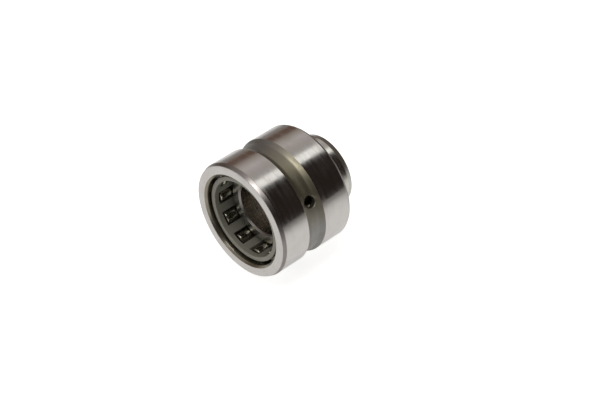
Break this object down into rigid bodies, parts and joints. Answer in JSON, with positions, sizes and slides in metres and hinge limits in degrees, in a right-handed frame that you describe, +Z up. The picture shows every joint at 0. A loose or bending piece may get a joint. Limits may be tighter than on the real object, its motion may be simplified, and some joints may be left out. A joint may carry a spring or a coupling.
{
  "type": "needle roller bearing",
  "caption": "Machined needle roller bearing: grooved outer ring with an oil hole, window cage, needle rollers and a plain inner ring that slides out.",
  "frame": {"origin": "on the bearing's axis, halfway along the overall length, which is the middle of the bounding box", "axes": "+Y along the bearing's axis, from the front face towards the back, where the inner ring stands out; +Z up with the bearing lying on its outside cylinder; +X completes the right-handed frame"},
  "size_m": [0.022, 0.0206, 0.022],
  "materials": {
    "outer_ring_steel": "ground bearing steel, turned oil groove",
    "cage_steel": "satin pressed steel",
    "inner_ring_steel": "ground bearing steel",
    "roller_steel": "lapped bearing steel"
  },
  "bodies": {
    "outer_ring": {"outer_ring": "outer_ring_steel"},
    "cage": {"cage": "cage_steel"},
    "inner_ring": {"inner_ring": "inner_ring_steel"},
    "roller_01": {"roller_01": "roller_steel"},
    "roller_02": {"roller_02": "roller_steel"},
    "roller_03": {"roller_03": "roller_steel"},
    "roller_04": {"roller_04": "roller_steel"},
    "roller_05": {"roller_05": "roller_steel"},
    "roller_06": {"roller_06": "roller_steel"},
    "roller_07": {"roller_07": "roller_steel"},
    "roller_08": {"roller_08": "roller_steel"},
    "roller_09": {"roller_09": "roller_steel"},
    "roller_10": {"roller_10": "roller_steel"},
    "roller_11": {"roller_11": "roller_steel"}
  },
  "joints": [
    {"name": "inner_ring_spin", "type": "hinge", "parent": "outer_ring", "child": "inner_ring", "pos_m": [0, 0, 0], "axis": [0, 1, 0], "continuous": true},
    {"name": "cage_orbit", "type": "hinge", "parent": "outer_ring", "child": "cage", "pos_m": [0, -0.00225, 0], "axis": [0, 1, 0], "continuous": true},
    {"name": "roller_01_spin", "type": "hinge", "parent": "cage", "child": "roller_01", "pos_m": [0.00062, -0.00225, 0.00823], "axis": [0, 1, 0], "continuous": true},
    {"name": "roller_02_spin", "type": "hinge", "parent": "cage", "child": "roller_02", "pos_m": [0.00497, -0.00225, 0.00659], "axis": [0, 1, 0], "continuous": true},
    {"name": "roller_03_spin", "type": "hinge", "parent": "cage", "child": "roller_03", "pos_m": [0.00774, -0.00225, 0.00285], "axis": [0, 1, 0], "continuous": true},
    {"name": "roller_04_spin", "type": "hinge", "parent": "cage", "child": "roller_04", "pos_m": [0.00805, -0.00225, -0.00178], "axis": [0, 1, 0], "continuous": true},
    {"name": "roller_05_spin", "type": "hinge", "parent": "cage", "child": "roller_05", "pos_m": [0.00581, -0.00225, -0.00585], "axis": [0, 1, 0], "continuous": true},
    {"name": "roller_06_spin", "type": "hinge", "parent": "cage", "child": "roller_06", "pos_m": [0.00172, -0.00225, -0.00807], "axis": [0, 1, 0], "continuous": true},
    {"name": "roller_07_spin", "type": "hinge", "parent": "cage", "child": "roller_07", "pos_m": [-0.00291, -0.00225, -0.00772], "axis": [0, 1, 0], "continuous": true},
    {"name": "roller_08_spin", "type": "hinge", "parent": "cage", "child": "roller_08", "pos_m": [-0.00662, -0.00225, -0.00492], "axis": [0, 1, 0], "continuous": true},
    {"name": "roller_09_spin", "type": "hinge", "parent": "cage", "child": "roller_09", "pos_m": [-0.00823, -0.00225, -0.00056], "axis": [0, 1, 0], "continuous": true},
    {"name": "roller_10_spin", "type": "hinge", "parent": "cage", "child": "roller_10", "pos_m": [-0.00723, -0.00225, 0.00398], "axis": [0, 1, 0], "continuous": true},
    {"name": "roller_11_spin", "type": "hinge", "parent": "cage", "child": "roller_11", "pos_m": [-0.00393, -0.00225, 0.00726], "axis": [0, 1, 0], "continuous": true}
  ],
  "couplings": [
    {"joint": "cage_orbit", "follows": "inner_ring_spin", "ratio": 0.42424},
    {"joint": "roller_01_spin", "follows": "inner_ring_spin", "ratio": -3.2242},
    {"joint": "roller_02_spin", "follows": "inner_ring_spin", "ratio": -3.2242},
    {"joint": "roller_03_spin", "follows": "inner_ring_spin", "ratio": -3.2242},
    {"joint": "roller_04_spin", "follows": "inner_ring_spin", "ratio": -3.2242},
    {"joint": "roller_05_spin", "follows": "inner_ring_spin", "ratio": -3.2242},
    {"joint": "roller_06_spin", "follows": "inner_ring_spin", "ratio": -3.2242},
    {"joint": "roller_07_spin", "follows": "inner_ring_spin", "ratio": -3.2242},
    {"joint": "roller_08_spin", "follows": "inner_ring_spin", "ratio": -3.2242},
    {"joint": "roller_09_spin", "follows": "inner_ring_spin", "ratio": -3.2242},
    {"joint": "roller_10_spin", "follows": "inner_ring_spin", "ratio": -3.2242},
    {"joint": "roller_11_spin", "follows": "inner_ring_spin", "ratio": -3.2242}
  ]
}
